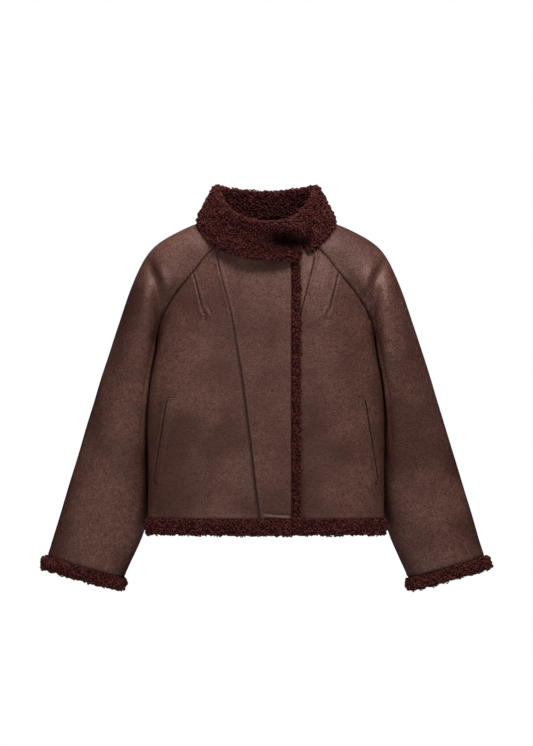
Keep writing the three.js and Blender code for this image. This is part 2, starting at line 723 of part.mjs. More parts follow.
/** The height of the cloth at a place under the collar, or none. */
function clothHeight(cloth, x, y) {
  const ray = new THREE.Raycaster(point(x, y, ABOVE_JACKET), point(0, 0, -1));
  const hits = cloth.flatMap((mesh) => ray.intersectObject(mesh));
  return Math.max(...hits.map((hit) => hit.point.z));
}

/** A place in plan, by angle round the neck and distance from its axis. */
function roundNeck(at, out) {
  return { x: out * Math.sin(at * DEGREE), y: NECK_AXIS_Y - out * Math.cos(at * DEGREE) };
}

/** The outline of a collar section in its own plane: distance from the neck's axis, and height. */
function collarOutline(at, footOut, footZ, restZ) {
  const half = COLLAR_CLOTH / 2;
  const rollOut = collar.rollOut(at);
  const rollZ = collar.rollZ(at) - ROLL_RADIUS - half;
  const fallOut = collar.fallOut(at);
  const fallZ = Math.max(collar.fallZ(at), restZ) + half;
  const dent = collar.dent(at);
  const stand = [0, 0.45, 0.8].map((t) => [
    lerp(footOut + collar.foot(at), rollOut - ROLL_RADIUS, t ** STAND_CURVE),
    lerp(footZ, rollZ, t),
  ]);
  const fall = [0.25, 0.5, 0.75, 1].map((t) => [
    lerp(rollOut + ROLL_RADIUS, fallOut, t) - dent * Math.sin(Math.PI * Math.min(1, DENT_REACH * t)),
    lerp(rollZ, fallZ, t),
  ]);
  const roll = (radius) =>
    [180, 135, 90, 45, 0].map((turn) => [
      rollOut + radius * Math.cos(turn * DEGREE),
      rollZ + radius * Math.sin(turn * DEGREE),
    ]);
  const shifted = (line, by) => line.map(([out, z]) => [out + by, z]);
  const tip = [
    [fallOut + half * TIP_ROUND, fallZ - half * TIP_ROUND],
    [fallOut, fallZ - half],
    [fallOut - half * TIP_ROUND, fallZ - half * TIP_ROUND],
  ];
  return flat([
    ...shifted(stand, -half),
    ...roll(ROLL_RADIUS + half),
    ...shifted(fall, half),
    ...tip,
    ...shifted(fall, -half).reverse(),
    ...roll(ROLL_RADIUS - half).reverse(),
    ...shifted(stand, half).reverse(),
  ]);
}

/** The collar: a folded section that follows the neckline round and laps over itself in front. */
function collarGeometry(path, cloth) {
  let turns = 0;
  let before = null;
  const feet = path.map((p) => {
    const raw = Math.atan2(p.x, NECK_AXIS_Y - p.y) / DEGREE;
    if (before !== null && raw < before - 180) turns += 1;
    before = raw;
    return { at: raw + 360 * turns, out: Math.hypot(p.x, p.y - NECK_AXIS_Y) - CLOTH / 2, z: p.z };
  });
  feet.push({ ...feet.at(-1), at: COLLAR_END });
  const outlines = feet.map(({ at, out, z }) => {
    const highest = (middle) =>
      Math.max(
        ...[-0.5, 0, 0.5].map((share) => {
          const { x, y } = roundNeck(at, middle + share * COLLAR_CLOTH);
          return clothHeight(cloth, x, y);
        }),
      );
    const footZ = Math.max(z, highest(out + collar.foot(at))) + COLLAR_CLEAR;
    return { at, outline: collarOutline(at, out, footZ, highest(collar.fallOut(at)) + COLLAR_CLEAR) };
  });
  const sections = outlines.map(({ at, outline }) =>
    outline.map(({ x: out, y: z }) => {
      const { x, y } = roundNeck(at, out);
      return point(x, y, z);
    }),
  );
  return bar(sections, { ends: [outlines[0].outline, outlines.at(-1).outline] });
}

// ---- Bands ----

/** The hem's edge from the hidden left end, round the back, to the closing edge. */
function hemPath(fronts, backGrid) {
  const run = (grid) => grid.rows[0].map((p, i) => ({ p, n: grid.normals[0][i] }));
  return [
    ...run(fronts.leftCentre).slice(0, -1),
    ...run(fronts.leftSide).slice(0, -1),
    ...run(backGrid),
    ...run(fronts.rightSide).slice(0, -1).reverse(),
    ...run(fronts.rightCentre).slice(0, -1).reverse(),
  ];
}

/** A teddy band below a run of edge points, along the direction in which it hangs. */
function bandGeometry(edge, section, down, around) {
  const sections = edge.map(({ p, n }) => {
    const out = n.clone().addScaledVector(down, -n.dot(down)).normalize();
    return section.map((row) => p.clone().addScaledVector(out, row.out).addScaledVector(down, row.down));
  });
  const outline = flat(section.map((row) => [row.out, row.down]));
  return bar(sections, around ? { around } : { ends: [outline, outline] });
}

/** The cuff band beyond the last ring of a sleeve. */
function cuffGeometry(side, sleeve) {
  const { innerX, innerZ, outerX, outerZ } = SLEEVE.at(-1);
  const down = point(side * (outerZ - innerZ), 0, innerX - outerX).normalize();
  const edge = sleeve.rows.at(-1).map((p, i) => ({ p, n: sleeve.normals.at(-1)[i] }));
  return bandGeometry(edge, CUFF_SECTION, down, true);
}

/** The closing strip's section: sideways and out from its middle. */
function stripOutline(out) {
  const half = STRIP_WIDTH / 2;
  return flat([
    [-half, STRIP_IN],
    [-half, out - STRIP_ROUND],
    [-half * STRIP_FACE, out],
    [half * STRIP_FACE, out],
    [half, out - STRIP_ROUND],
    [half, STRIP_IN],
  ]);
}

/** The teddy strip along the closing edge, from the collar to the foot of the hem band. */
function stripGeometry() {
  const middleX = CLOSING_X + STRIP_GAP + STRIP_WIDTH / 2;
  const sections = range(STRIP_STEPS + 1).map((step) => {
    const z = lerp(STRIP_TOP, HEM_Z - BAND_HEIGHT + STRIP_FOOT, step / STRIP_STEPS);
    const angle = angleAt(middleX, z);
    const middle = bodyPoint(angle, Math.max(z, HEM_Z)).setZ(z);
    const out = formNormal(angle, z);
    const sideways = UP.clone().cross(out).normalize();
    const besideBand = STRIP_AT_BAND * smooth(HEM_Z + STRIP_RISE_FROM - z, 0, STRIP_RISE_OVER);
    return stripOutline(STRIP_OUT + besideBand).map(({ x, y }) =>
      middle.clone().addScaledVector(sideways, x).addScaledVector(out, y),
    );
  });
  const outline = stripOutline(STRIP_OUT);
  return bar(sections, { ends: [outline, outline] });
}

/** A slanting pocket's welt, lying on the side part of a front. */
function weltGeometry(side) {
  const outline = flat([
    [0, WELT_GAP],
    [0, WELT_RISE],
    [WELT_WIDTH * WELT_FACE, WELT_RISE],
    [WELT_WIDTH, WELT_GAP],
  ]);
  const sections = range(WELT_STEPS + 1).map((step) => {
    const x = lerp(POCKET.topX, POCKET.endX, step / WELT_STEPS);
    const z = lerp(POCKET.topZ, POCKET.endZ, step / WELT_STEPS);
    const angle = angleAt(x, z);
    const towardsMiddle = formPoint(angle - 1, z).sub(formPoint(angle, z)).normalize();
    const out = formNormal(angle, z);
    return outline.map(({ x: across, y: up }) => {
      const p = bodyPoint(angle, z).addScaledVector(towardsMiddle, across).addScaledVector(out, up);
      return p.setX(side * p.x);
    });
  });
  return bar(sections, { ends: [outline, outline] });
}

// ---- Assembly ----

const fronts = {
  rightCentre: frontCentre(RIGHT, CLOSING_X, RIGHT_COLUMNS),
  rightSide: frontSide(RIGHT),
  leftCentre: frontCentre(LEFT, UNDERLAP_X, LEFT_COLUMNS),
  leftSide: frontSide(LEFT),
};
const backGrid = backPanel();
const sleeves = { right: mirrored(leftSleeveGrid), left: leftSleeveGrid };

piece("front_right_centre", wall(fronts.rightCentre.rows, fronts.rightCentre.normals), LEATHER);
piece("front_right_side", wall(fronts.rightSide.rows, fronts.rightSide.normals), LEATHER);
piece("front_left_centre", wall(fronts.leftCentre.rows, fronts.leftCentre.normals), LEATHER);
piece("front_left_side", wall(fronts.leftSide.rows, fronts.leftSide.normals), LEATHER);
piece("back", wall(backGrid.rows, backGrid.normals), LEATHER);
for (const [name, sleeve] of Object.entries(sleeves)) {
  piece(`sleeve_${name}`, wall(sleeve.rows, sleeve.normals, true), LEATHER);
  piece(`cuff_band_${name}`, cuffGeometry(name === "right" ? RIGHT : LEFT, sleeve), TEDDY);
}
const shoulders = group.children.filter(({ name }) => name.startsWith("sleeve") || name === "back");
piece("collar", collarGeometry(necklinePath(fronts, backGrid), shoulders), TEDDY);
piece("hem_band", bandGeometry(hemPath(fronts, backGrid), HEM_SECTION, point(0, 0, -1)), TEDDY);
piece("front_edge_band", stripGeometry(), TEDDY);
piece("pocket_welt_right", weltGeometry(RIGHT), LEATHER);
piece("pocket_welt_left", weltGeometry(LEFT), LEATHER);

export default group;
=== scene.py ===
"""The looks of a short leather jacket whose teddy pile shows on its collar, closing edge, hem and cuffs."""

import json
import logging
import math
from collections.abc import Callable, Iterable
from dataclasses import dataclass, field
from enum import Enum, IntEnum

import bmesh
import bpy
from mathutils import Matrix, Vector, noise
from mathutils.bvhtree import BVHTree
from mathutils.kdtree import KDTree

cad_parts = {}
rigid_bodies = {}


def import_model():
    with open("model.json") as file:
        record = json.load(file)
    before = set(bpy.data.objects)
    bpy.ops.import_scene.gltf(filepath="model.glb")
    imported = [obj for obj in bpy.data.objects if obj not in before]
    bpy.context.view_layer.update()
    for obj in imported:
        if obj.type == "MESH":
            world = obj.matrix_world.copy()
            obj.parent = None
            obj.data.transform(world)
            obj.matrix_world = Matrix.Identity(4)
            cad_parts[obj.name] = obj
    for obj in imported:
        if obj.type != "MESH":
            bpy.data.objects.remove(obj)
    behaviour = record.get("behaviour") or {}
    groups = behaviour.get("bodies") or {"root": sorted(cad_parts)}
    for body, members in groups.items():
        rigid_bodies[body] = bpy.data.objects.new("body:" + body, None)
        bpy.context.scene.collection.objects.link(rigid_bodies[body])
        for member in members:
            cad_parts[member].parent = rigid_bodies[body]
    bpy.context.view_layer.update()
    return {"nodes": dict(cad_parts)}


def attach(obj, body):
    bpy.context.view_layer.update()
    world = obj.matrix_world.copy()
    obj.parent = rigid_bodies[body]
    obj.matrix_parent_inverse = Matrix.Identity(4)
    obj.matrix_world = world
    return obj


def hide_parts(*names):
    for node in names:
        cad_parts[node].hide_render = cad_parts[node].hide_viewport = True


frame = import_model()

LOG = logging.getLogger("jacket")
BODY = "root"
MM = 0.001
MERGE = 1e-5  # metres between corners that are one
SEAM_LINE_AND_SHADE = "depth"  # how dark a place is painted, from 0 to 1: a seam's dark line, and painted shade in sharp folds and in the pile's hollows
CLOTH = 5 * MM  # thickness of the panels
EVEN = 0.03 * MM  # slack in the thickness of an even wall
CORNER = math.radians(40)  # a rim that turns more than this has a corner
FLAT_ENOUGH = math.radians(60)  # two triangles that meet at less than this may be one face
SHAPE_LIMITS = (0.7, math.pi)  # the squarest pairs of triangles are joined before the rest

FORWARD = Vector((0, -1, 0))

Color = tuple[float, float, float]
Spot = tuple[float, float]
Socket = bpy.types.NodeSocket


# ---- Materials ----


@dataclass(frozen=True)
class Ramp:
    """Stretches a value from low..high to start..end, and holds it at the ends."""

    low: float
    high: float
    start: float = 0.0
    end: float = 1.0


@dataclass(frozen=True)
class Relief:
    """A bump: its rise in metres, and the share of it that shows."""

    rise: float
    strength: float


class Recipe:
    """The node tree of one material, built a node at a time on object coordinates."""

    MIX_A, MIX_B, MIX_RESULT = 6, 7, 2  # places of the mix node's colours among its sockets
    CELL_SOFTNESS = 0.35
    CREASE_WANDER = 0.8  # bends of a crease for each of its lengths
    CREASE_BEND = 2.2  # how far a crease is bent, in lengths

    def __init__(self, name: str) -> None:
        """Starts a material with its shader and its coordinates.

        Args:
            name: The material's name.
        """
        self.material = bpy.data.materials.new(name)
        self.material.use_nodes = True
        self.tree = self.material.node_tree
        self.shader = self.tree.nodes["Principled BSDF"]
        self.place = self.tree.nodes.new("ShaderNodeTexCoord").outputs["Object"]

    def fit(self, socket: Socket, value: Socket | float | Iterable[float]) -> None:
        """Joins a socket to another one, or sets it to a constant.

        Args:
            socket: The socket.
            value: The socket to join it to, or the constant.
        """
        if isinstance(value, Socket):
            self.tree.links.new(value, socket)
        else:
            socket.default_value = value

    def dress(self, **values: Socket | float | Iterable[float]) -> None:
        """Sets the shader's inputs.

        Args:
            **values: What each input takes, under its name in lower case with underscores.
        """
        for name, value in values.items():
            socket = next(s for s in self.shader.inputs if s.name.lower().replace(" ", "_") == name)
            self.fit(socket, value)

    def painted(self, layer: str) -> Socket:
        """A value kept at the mesh's corners.

        Args:
            layer: The name of the layer that keeps it.

        Returns:
            The value.
        """
        node = self.tree.nodes.new("ShaderNodeAttribute")
        node.attribute_name = layer
        return node.outputs["Fac"]

    def noise(self, size: float, detail: float = 2.0, rough: float = 0.5, bend: float = 0.0) -> Socket:
        """Soft noise.

        Args:
            size: Metres from one blotch to the next.
            detail: Number of finer layers.
            rough: Strength of the finer layers.
            bend: How far it is distorted.

        Returns:
            A value from 0 to 1.
        """
        node = self.tree.nodes.new("ShaderNodeTexNoise")
        self.fit(node.inputs["Vector"], self.place)
        self.fit(node.inputs["Scale"], 1 / size)
        self.fit(node.inputs["Detail"], detail)
        self.fit(node.inputs["Roughness"], rough)
        self.fit(node.inputs["Distortion"], bend)
        return node.outputs["Fac"]

    def shifted(self, by: Socket, reach: float) -> Socket:
        """The coordinates, moved by a value.

        Args:
            by: The value.
            reach: How far a value of 1 moves them, in metres.

        Returns:
            The moved coordinates.
        """
        node = self.tree.nodes.new("ShaderNodeVectorMath")
        node.operation = "MULTIPLY_ADD"
        self.fit(node.inputs[0], by)
        self.fit(node.inputs[1], (reach, reach, reach))
        self.fit(node.inputs[2], self.place)
        return node.outputs["Vector"]

    def cells(self, size: float, bend: Socket) -> Socket:
        """Rounded cells.

        Args:
            size: Metres from one cell to the next.
            bend: A value that shifts the cells.

        Returns:
            A value that is 0 in the middle of a cell and grows towards its edge.
        """
        node = self.tree.nodes.new("ShaderNodeTexVoronoi")
        node.feature = "SMOOTH_F1"
        self.fit(node.inputs["Smoothness"], self.CELL_SOFTNESS)
        self.fit(node.inputs["Scale"], 1 / size)
        self.fit(node.inputs["Vector"], self.shifted(bend, size))
        return node.outputs["Distance"]

    def creases(self, size: float) -> Socket:
        """A net of bent, uneven creases.

        Args:
            size: Metres from one crease to the next.

        Returns:
            A value that is 0 on a crease and grows away from it.
        """
        bend = self.tree.nodes.new("ShaderNodeTexNoise")
        self.fit(bend.inputs["Vector"], self.place)
        self.fit(bend.inputs["Scale"], self.CREASE_WANDER / size)
        node = self.tree.nodes.new("ShaderNodeTexVoronoi")
        node.feature = "DISTANCE_TO_EDGE"
        self.fit(node.inputs["Scale"], 1 / size)
        self.fit(node.inputs["Vector"], self.shifted(bend.outputs["Color"], self.CREASE_BEND * size))
        return node.outputs["Distance"]

    def span(self, value: Socket, ramp: Ramp) -> Socket:
        """A value stretched by a ramp.

        Args:
            value: The value.
            ramp: The ramp.

        Returns:
            The stretched value.
        """
        node = self.tree.nodes.new("ShaderNodeMapRange")
        self.fit(node.inputs["Value"], value)
        self.fit(node.inputs["From Min"], ramp.low)
        self.fit(node.inputs["From Max"], ramp.high)
        self.fit(node.inputs["To Min"], ramp.start)
        self.fit(node.inputs["To Max"], ramp.end)
        return node.outputs["Result"]

    def blend(self, share: Socket | float, first: Socket | Color, second: Socket | Color) -> Socket:
        """A colour between two.

        Args:
            share: Share of the second colour.
            first: The first colour.
            second: The second colour.

        Returns:
            The blended colour.
        """
        node = self.tree.nodes.new("ShaderNodeMix")
        node.data_type = "RGBA"
        self.fit(node.inputs["Factor"], share)
        for index, color in ((self.MIX_A, first), (self.MIX_B, second)):
            self.fit(node.inputs[index], color if isinstance(color, Socket) else (*color, 1.0))
        return node.outputs[self.MIX_RESULT]

    def raised(self, height: Socket, relief: Relief, under: Socket | None = None) -> Socket:
        """A bump.

        Args:
            height: The height at each place, from 0 to 1.
            relief: How strong the bump is.
            under: The normal of a coarser bump below it, if any.

        Returns:
            The normal.
        """
        node = self.tree.nodes.new("ShaderNodeBump")
        self.fit(node.inputs["Height"], height)
        self.fit(node.inputs["Distance"], relief.rise)
        self.fit(node.inputs["Strength"], relief.strength)
        if under is not None:
            self.fit(node.inputs["Normal"], under)
        return node.outputs["Normal"]


@dataclass(frozen=True)
class LeatherFinish:
    """Matte, finely pebbled leather, mottled from a grey brown to a redder dark brown."""

    name: str = "pebbled_leather"
    light: Color = (0.092, 0.043, 0.034)
    deep: Color = (0.045, 0.0170, 0.0130)
    speck: Color = (0.016, 0.0055, 0.004)
    # a seam's dark line, and the painted shade in sharp folds
    seam: Color = (0.013, 0.005, 0.004)
    pebble: float = 2.1 * MM
    wander: float = 2.0  # in pebbles, as grain
    grain: float = 0.9
    mottle: float = 11 * MM
    cloud: float = 120 * MM
    crease: float = 13 * MM
    clouded: Ramp = Ramp(0.40, 0.62, 0.0, 0.95)
    mottled: Ramp = Ramp(0.36, 0.66, 0.0, 0.5)
    pebbled: Ramp = Ramp(0.40, 0.72, 0.0, 0.6)
    grained: Ramp = Ramp(0.54, 0.74, 0.0, 0.75)
    crease_edge: Ramp = Ramp(0.0, 0.09)
    crease_shade: Ramp = Ramp(0.0, 1.0, 0.35, 0.0)
    pebble_dome: Ramp = Ramp(0.7, 0.1)
    dull: Ramp = Ramp(0.3, 0.7, 0.40, 0.52)
    mottle_relief: Relief = Relief(1.3 * MM, 0.5)
    crease_relief: Relief = Relief(0.35 * MM, 0.5)
    pebble_relief: Relief = Relief(0.45 * MM, 0.8)

    def material(self) -> bpy.types.Material:
        """Builds the material.

        Returns:
            The material.
        """
        recipe = Recipe(self.name)
        pebbles = recipe.cells(self.pebble, recipe.noise(self.pebble * self.wander, detail=1))
        clouds = recipe.noise(self.cloud, detail=2)
        creased = recipe.span(recipe.creases(self.crease), self.crease_edge)
        recipe.dress(
            base_color=self.tone(recipe, pebbles, clouds, creased),
            roughness=recipe.span(clouds, self.dull),
            specular_ior_level=0.25,
            specular_tint=(1.0, 0.68, 0.62, 1.0),
            normal=self.relief(recipe, pebbles, creased),
        )
        return recipe.material

    def tone(self, recipe: Recipe, pebbles: Socket, clouds: Socket, creased: Socket) -> Socket:
        """Mixes the leather's colour, with seams' dark lines and painted shade in its sharp folds and
        creases.

        Args:
            recipe: The material.
            pebbles: The pebbles' cells.
            clouds: The large clouds.
            creased: 0 on a crease and 1 beside it.

        Returns:
            The colour.
        """
        mottle = recipe.noise(self.mottle, detail=4, rough=0.62, bend=0.4)
        grain = recipe.noise(self.pebble * self.grain, detail=2)
        tone = recipe.blend(recipe.span(clouds, self.clouded), self.light, self.deep)
        tone = recipe.blend(recipe.span(mottle, self.mottled), tone, self.deep)
        tone = recipe.blend(recipe.span(pebbles, self.pebbled), tone, self.speck)
        tone = recipe.blend(recipe.span(grain, self.grained), tone, self.speck)
        # seams' dark lines, and painted shade in the sharp folds
        tone = recipe.blend(recipe.painted(SEAM_LINE_AND_SHADE), tone, self.seam)
        return recipe.blend(recipe.span(creased, self.crease_shade), tone, self.speck)

    def relief(self, recipe: Recipe, pebbles: Socket, creased: Socket) -> Socket:
        """Builds the leather's bumps, from coarse to fine.

        Args:
            recipe: The material.
            pebbles: The pebbles' cells.
            creased: 0 on a crease and 1 beside it.

        Returns:
            The normal.
        """
        normal = recipe.raised(recipe.noise(self.mottle, detail=4, rough=0.6), self.mottle_relief)
        normal = recipe.raised(creased, self.crease_relief, normal)
        return recipe.raised(recipe.span(pebbles, self.pebble_dome), self.pebble_relief, normal)


@dataclass(frozen=True)
class TeddyFinish:
    """Curly teddy pile, dark burgundy brown, with painted shade, nearly black, in its hollows."""

    name: str
    tip: Color
    depth: Color
    # painted shade in the pile's hollows, where hardly any light falls
    pit_shade: Color = (0.004, 0.0008, 0.0008)
    curl: float = 4.2 * MM
    patch: float = 5.0  # in curls, as hair
    hair: float = 0.16
    locks: Ramp = Ramp(0.36, 0.64)
    patched: Ramp = Ramp(0.35, 0.7, 0.0, 0.5)
    lock_relief: Relief = Relief(1.2 * MM, 0.8)
    hair_relief: Relief = Relief(0.35 * MM, 0.7)
    sheen: float = 0.04

    def material(self) -> bpy.types.Material:
        """Builds the material.

        Returns:
            The material.
        """
        recipe = Recipe(self.name)
        lock = recipe.noise(self.curl, detail=3, rough=0.65, bend=0.8)
        patch = recipe.noise(self.curl * self.patch, detail=1)
        tone = recipe.blend(recipe.span(lock, self.locks), self.depth, self.tip)
        tone = recipe.blend(recipe.span(patch, self.patched), tone, self.depth)
        # paints shade where the pile is closed in
        tone = recipe.blend(recipe.painted(SEAM_LINE_AND_SHADE), tone, self.pit_shade)
        hairs = recipe.noise(self.curl * self.hair, detail=2, bend=1.5)
        relief = recipe.raised(lock, self.lock_relief)
        relief = recipe.raised(hairs, self.hair_relief, relief)
        recipe.dress(
            base_color=tone,
            roughness=0.92,
            specular_ior_level=0.04,
            sheen_weight=self.sheen,
            sheen_roughness=0.45,
            sheen_tint=(0.80, 0.18, 0.16, 1.0),
            normal=relief,
        )
        return recipe.material


@dataclass(frozen=True)
class FloorFinish:
    """A plain pale floor."""

    name: str = "pale_floor"
    tone: Color = (0.86, 0.86, 0.86)
    lit: float = 0.12

    def material(self) -> bpy.types.Material:
        """Builds the material.

        Returns:
            The material.
        """
        recipe = Recipe(self.name)
        recipe.dress(
            base_color=(*self.tone, 1.0),
            roughness=0.9,
            specular_ior_level=0.1,
            emission_color=(1.0, 1.0, 1.0, 1.0),
            emission_strength=self.lit,
        )
        return recipe.material


LEATHER = LeatherFinish()
LINING = TeddyFinish("teddy_lining", tip=(0.040, 0.011, 0.010), depth=(0.008, 0.002, 0.002))
# the ground between the curls is painted darker than the curls, as the shade deep in the pile
SHADED_GROUND = TeddyFinish("teddy_ground", tip=(0.022, 0.0042, 0.0038), depth=(0.008, 0.0014, 0.0013))
CURLED = TeddyFinish("teddy_curls", tip=(0.078, 0.0215, 0.0195), depth=(0.018, 0.0044, 0.0040))


@dataclass(frozen=True)
class Finishes:
    """The materials of the jacket."""

    leather: bpy.types.Material
    lining: bpy.types.Material
    ground: bpy.types.Material
    curls: bpy.types.Material

    @classmethod
    def made(cls) -> "Finishes":
        """Builds each material once."""
        return cls(LEATHER.material(), LINING.material(), SHADED_GROUND.material(), CURLED.material())


# ---- Mesh helpers ----


class Layer(IntEnum):
    """Where a face of a cloth wall lies, which is also its material slot."""

    OUTSIDE = 0
    INSIDE = 1
    RIM = 2


def cad_quads(node: str) -> bmesh.types.BMesh:
    """Copies a CAD node's mesh with its corners merged and its triangles joined to quads.

    Args:
        node: The CAD node's name.

    Returns:
        The copy.
    """
    bm = bmesh.new()
    bm.from_mesh(frame["nodes"][node].data)
    bmesh.ops.remove_doubles(bm, verts=bm.verts, dist=MERGE)
    for shape_limit in SHAPE_LIMITS:
        bmesh.ops.join_triangles(
            bm,
            faces=[f for f in bm.faces if len(f.verts) == 3],
            angle_face_threshold=FLAT_ENOUGH,
            angle_shape_threshold=shape_limit,
        )
    bm.normal_update()
    return bm


def islands(faces: Iterable[bmesh.types.BMFace]) -> list[set[bmesh.types.BMFace]]:
    """Groups of faces that share edges.

    Args:
        faces: The faces to group.

    Returns:
        The groups.
    """
    left = set(faces)
    found = []
    while left:
        reached = [left.pop()]
        group = set(reached)
        while reached:
            for edge in reached.pop().edges:
                beside = left.intersection(edge.link_faces)
                left -= beside
                group |= beside
                reached.extend(beside)
        found.append(group)
    return found


def outwardness(faces: Iterable[bmesh.types.BMFace], middle: Vector) -> float:
    """How far a group of faces looks away from a point."""
    return sum(f.calc_area() * f.normal.dot(f.calc_center_median() - middle) for f in faces)


def label_wall(bm: bmesh.types.BMesh, rim_crease: float) -> None:
    """Gives each face of a cloth wall its layer, creases the edges of the rim and pins its corners.

    Args:
        bm: A wall of even thickness.
        rim_crease: How sharp the rim's edges stay, from 0 to 1.
    """
    crease = bm.edges.layers.float.new("crease_edge")
    pin = bm.verts.layers.float.new("crease_vert")
    across = {e for e in bm.edges if abs(e.calc_length() - CLOTH) < EVEN}
    rim = {f for f in bm.faces if sum(e in across for e in f.edges) >= 2}
    middle = sum((v.co for v in bm.verts), Vector()) / len(bm.verts)
    sides = sorted(islands(set(bm.faces) - rim), key=len)[-2:]
    outside = max(sides, key=lambda side: outwardness(side, middle))
    for face in bm.faces:
        face.material_index = Layer.RIM if face in rim else Layer.INSIDE
    for face in outside:
        face.material_index = Layer.OUTSIDE
    for edge in bm.edges:
        if len({f in rim for f in edge.link_faces}) == 2:
            edge[crease] = rim_crease
        elif edge in across and edge.calc_face_angle(0.0) > CORNER:
            edge[crease] = 1.0
            for vert in edge.verts:
                vert[pin] = 1.0


def evaluated(bm: bmesh.types.BMesh, fit: Callable[[bpy.types.Object], None]) -> bmesh.types.BMesh:
    """The mesh after a modifier; the one given is freed.

    Args:
        bm: The mesh.
        fit: Adds the modifier to an object that holds the mesh.

    Returns:
        The changed mesh.
    """
    mesh = bpy.data.meshes.new("holder")
    bm.to_mesh(mesh)
    bm.free()
    holder = bpy.data.objects.new("holder", mesh)
    bpy.context.scene.collection.objects.link(holder)
    fit(holder)
    changed = holder.evaluated_get(bpy.context.evaluated_depsgraph_get())
    result = bmesh.new()
    result.from_mesh(changed.to_mesh())
    changed.to_mesh_clear()
    bpy.data.objects.remove(holder)
    bpy.data.meshes.remove(mesh)
    return result


def subdivided(bm: bmesh.types.BMesh, levels: int) -> bmesh.types.BMesh:
    """The mesh after smooth subdivision; the one given is freed.

    Args:
        bm: The mesh.
        levels: How many times it is subdivided.

    Returns:
        The finer mesh.
    """

    def fit(holder: bpy.types.Object) -> None:
        """Adds the subdivision."""
        finer = holder.modifiers.new("finer", "SUBSURF")
        finer.levels = finer.render_levels = levels

    return evaluated(bm, fit)


def piece(
    name: str, bm: bmesh.types.BMesh, materials: Iterable[bpy.types.Material]
) -> bpy.types.Object:
    """Makes an object that rides on the jacket; the mesh given is freed.

    Args:
        name: The piece's name.
        bm: Its mesh, in place.
        materials: Its materials, in the order of the faces' slots.

    Returns:
        The object.
    """
    for face in bm.faces:
        face.smooth = True
    mesh = bpy.data.meshes.new(name)
    bm.to_mesh(mesh)
    bm.free()
    for material in materials:
        mesh.materials.append(material)
    obj = bpy.data.objects.new(name, mesh)
    bpy.context.scene.collection.objects.link(obj)
    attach(obj, BODY)
    triangles = sum(len(p.vertices) - 2 for p in mesh.polygons)
    LOG.info("%s: %d triangles", name, triangles)
    return obj


def solid_tree(node: str) -> BVHTree:
    """A CAD node's surface, for finding how near it is.

    Args:
        node: The CAD node's name.

    Returns:
        The surface.
    """
    bm = cad_quads(node)
    tree = BVHTree.FromBMesh(bm)
    bm.free()
    return tree


def swell(distance: float, width: float) -> float:
    """A soft bell that is 1 at 0 and has died out at about twice the width."""
    return math.exp(-((distance / width) ** 2))


def ease(value: float, start: float, end: float) -> float:
    """A soft step from 0 at start to 1 at end."""
    share = min(1.0, max(0.0, (value - start) / (end - start)))
    return share * share * (3 - 2 * share)


# ---- Folds in the leather ----


class Face(Enum):
    """Side of the jacket that a fold lies on."""

    FRONT = -1
    BACK = 1


@dataclass(frozen=True)
class Stroke:
    """One trough (height below 0) or ridge of a fold: its place across the fold, width and height."""

    offset: float
    width: float
    height: float


@dataclass(frozen=True)
class Fold:
    """A fold along a line seen from the front or the back, in millimetres.

    With both_sides, x counts from the middle on either side of the jacket.
    """

    FACING = 0.45  # a place that looks this much towards the front or back has the whole fold
    DIES_OUT = 2.2  # widths at which a stroke has died out

    start: Spot
    end: Spot
    strokes: tuple[Stroke, ...]
    fade: float = 12.0
    face: Face = Face.FRONT
    both_sides: bool = True
    bow: float = 0.0

    def height(self, place: Vector, normal: Vector) -> float:
        """How far the fold lifts a place.

        Args:
            place: The place in metres.
            normal: The direction out of the leather there.

        Returns:
            The height in metres, below 0 in a trough.
        """
        facing = ease(normal.y * self.face.value, 0.0, self.FACING)
        if facing == 0:
            return 0.0
        x = (abs(place.x) if self.both_sides else place.x) / MM
        start, end = Vector(self.start), Vector(self.end)
        run = end - start
        length = run.length
        away = Vector((x, place.z / MM)) - start
        along = away.dot(run) / length
        if not -self.reach() < along < length + self.reach():
            return 0.0
        across = away.cross(run) / length - self.bow * math.sin(math.pi * min(1, max(0, along / length)))
        if abs(across) > self.reach() + abs(self.bow):
            return 0.0
        ends = ease(along, -self.fade / 2, self.fade) * ease(length - along, -self.fade / 2, self.fade)
        profile = sum(s.height * swell(across - s.offset, s.width) for s in self.strokes)
        return profile * ends * facing * MM

    def reach(self) -> float:
        """Distance from the line at which the fold has died out."""
        return max(abs(s.offset) + self.DIES_OUT * s.width for s in self.strokes)


def trough(width: float, depth: float) -> tuple[Stroke, ...]:
    """A plain soft trough."""
    return (Stroke(0, width, -depth),)


def ridge(width: float, rise: float) -> tuple[Stroke, ...]:
    """A plain soft ridge."""
    return (Stroke(0, width, rise),)


DART = (Stroke(0, 1.4, -2.2), Stroke(3.8, 3.2, 0.7), Stroke(-4.2, 3.4, 0.4))
POCKET_SLIT = (Stroke(-1.3, 1.5, -3.2), Stroke(-5.5, 3.4, 0.8), Stroke(7.0, 4.2, 1.6))
PUCKER = (Stroke(0, 1.4, -1.7), Stroke(3.2, 2.2, 0.8))

